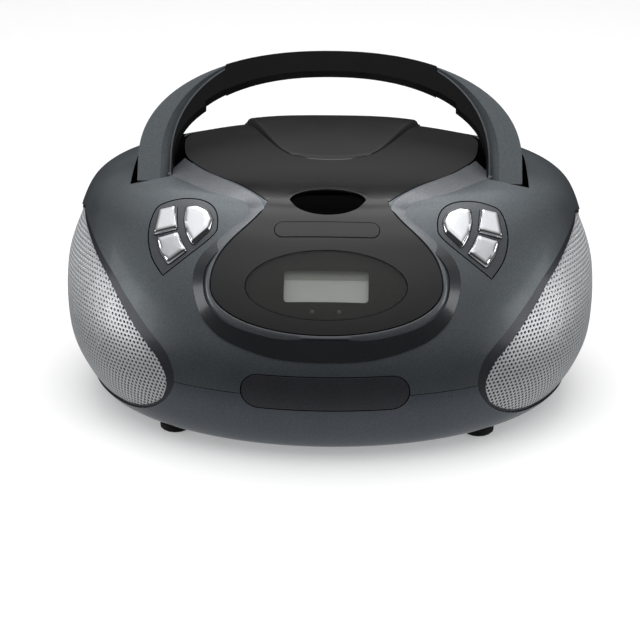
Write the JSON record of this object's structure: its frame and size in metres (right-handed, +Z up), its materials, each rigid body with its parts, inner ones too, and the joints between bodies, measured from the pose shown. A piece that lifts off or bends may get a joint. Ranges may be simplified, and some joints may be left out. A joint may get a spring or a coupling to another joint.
{
  "type": "boombox",
  "caption": "Portable disc boombox: saucer-shaped cabinet, side speaker grilles, folding arch handle, hinged disc lid, oval display, chrome buttons and telescopic antenna.",
  "frame": {"origin": "on the surface the boombox stands on, under the middle of its overall width and depth", "axes": "+Z up, +X towards the right as the listener faces the controls, -Y towards the listener"},
  "size_m": [0.3192, 0.2304, 0.2029],
  "materials": {
    "cabinet_paint": "satin slate-grey paint with a fine metallic grain",
    "perforated_steel": "satin silver perforated sheet",
    "black_plastic": "satin black moulding",
    "gloss_black": "polished black",
    "soft_grip": "satin black",
    "foot_rubber": "matt black rubber",
    "smoked_window": "smoked clear plastic",
    "screen_glass": "pale grey-green liquid crystal",
    "circuit_board": "green solder mask",
    "chrome_plate": "bright plated",
    "paper_cone": "black paper",
    "bright_steel": "bare steel",
    "dark_steel": "dark plated steel"
  },
  "bodies": {
    "cabinet": {"bottom_cabinet": "cabinet_paint", "top_cabinet": "cabinet_paint", "grille_right": "perforated_steel", "grille_left": "perforated_steel", "front_insert": "cabinet_paint", "front_panel": "black_plastic", "name_plate": "gloss_black", "display_window": "smoked_window", "lcd_module": "screen_glass", "display_board": "circuit_board", "power_lamp": "screen_glass", "stereo_lamp": "screen_glass", "button_bezel_left": "cabinet_paint", "button_bezel_right": "cabinet_paint", "handle_pin_right": "bright_steel", "handle_pin_left": "bright_steel", "cd_well": "black_plastic", "lid_hinge_pin_right": "bright_steel", "lid_hinge_pin_left": "bright_steel", "spindle_motor": "bright_steel", "sled_rail_front": "bright_steel", "sled_rail_rear": "bright_steel", "sled_motor": "dark_steel", "main_board": "circuit_board", "speaker_frame_left": "dark_steel", "speaker_cone_left": "paper_cone", "speaker_frame_right": "dark_steel", "speaker_cone_right": "paper_cone", "battery_plate": "bright_steel", "battery_spring_plate": "bright_steel", "transformer": "dark_steel", "ac_inlet": "black_plastic", "headphone_jack": "black_plastic", "aux_jack": "black_plastic", "foot_front_left": "foot_rubber", "foot_front_right": "foot_rubber", "foot_rear_left": "foot_rubber", "foot_rear_right": "foot_rubber", "case_screw_front_left": "dark_steel", "case_screw_front_right": "dark_steel", "case_screw_rear_left": "dark_steel", "case_screw_rear_right": "dark_steel", "antenna_bracket": "black_plastic"},
    "handle": {"handle_frame": "black_plastic", "handle_grip": "soft_grip", "handle_cover_right": "cabinet_paint", "handle_cover_left": "cabinet_paint"},
    "lid": {"cd_lid": "gloss_black", "disc_clamp": "black_plastic"},
    "turntable": {"turntable": "black_plastic"},
    "pickup": {"pickup_sled": "dark_steel"},
    "battery_door": {"battery_door": "cabinet_paint"},
    "antenna_mast": {"antenna_tube": "chrome_plate"},
    "antenna_tip": {"antenna_rod": "chrome_plate"},
    "button_left_shield": {"button_left_shield": "chrome_plate"},
    "button_left_upper": {"button_left_upper": "chrome_plate"},
    "button_left_lower": {"button_left_lower": "chrome_plate"},
    "button_right_shield": {"button_right_shield": "chrome_plate"},
    "button_right_upper": {"button_right_upper": "chrome_plate"},
    "button_right_lower": {"button_right_lower": "chrome_plate"}
  },
  "joints": [
    {"name": "handle_fold", "type": "hinge", "parent": "cabinet", "child": "handle", "pos_m": [0, 0.0198, 0.116], "axis": [-1, 0, 0], "range_deg": [0, 40]},
    {"name": "lid_open", "type": "hinge", "parent": "cabinet", "child": "lid", "pos_m": [0, 0.0743, 0.138], "axis": [-1, 0, 0], "range_deg": [0, 10]},
    {"name": "turntable_spin", "type": "hinge", "parent": "cabinet", "child": "turntable", "pos_m": [0, 0.0158, 0.127], "axis": [0, 0, 1], "continuous": true},
    {"name": "pickup_travel", "type": "slide", "parent": "cabinet", "child": "pickup", "axis": [1, 0, 0], "range_m": [0, 0.031]},
    {"name": "battery_door_open", "type": "hinge", "parent": "cabinet", "child": "battery_door", "pos_m": [0, 0.0494, 0.005], "axis": [1, 0, 0], "range_deg": [0, 95]},
    {"name": "antenna_swivel", "type": "hinge", "parent": "cabinet", "child": "antenna_mast", "pos_m": [-0.08, 0.1098, 0.097], "axis": [0, -1, 0], "range_deg": [0, 180]},
    {"name": "antenna_extend", "type": "slide", "parent": "antenna_mast", "child": "antenna_tip", "axis": [1, 0, 0], "range_m": [0, 0.12]},
    {"name": "button_left_shield_press", "type": "slide", "parent": "cabinet", "child": "button_left_shield", "axis": [0, 0.7431, -0.6691], "range_m": [0, 0.0012], "stiffness_N_per_m": 400},
    {"name": "button_left_upper_press", "type": "slide", "parent": "cabinet", "child": "button_left_upper", "axis": [0, 0.7431, -0.6691], "range_m": [0, 0.0012], "stiffness_N_per_m": 400},
    {"name": "button_left_lower_press", "type": "slide", "parent": "cabinet", "child": "button_left_lower", "axis": [0, 0.7431, -0.6691], "range_m": [0, 0.0012], "stiffness_N_per_m": 400},
    {"name": "button_right_shield_press", "type": "slide", "parent": "cabinet", "child": "button_right_shield", "axis": [0, 0.7431, -0.6691], "range_m": [0, 0.0012], "stiffness_N_per_m": 400},
    {"name": "button_right_upper_press", "type": "slide", "parent": "cabinet", "child": "button_right_upper", "axis": [0, 0.7431, -0.6691], "range_m": [0, 0.0012], "stiffness_N_per_m": 400},
    {"name": "button_right_lower_press", "type": "slide", "parent": "cabinet", "child": "button_right_lower", "axis": [0, 0.7431, -0.6691], "range_m": [0, 0.0012], "stiffness_N_per_m": 400}
  ]
}
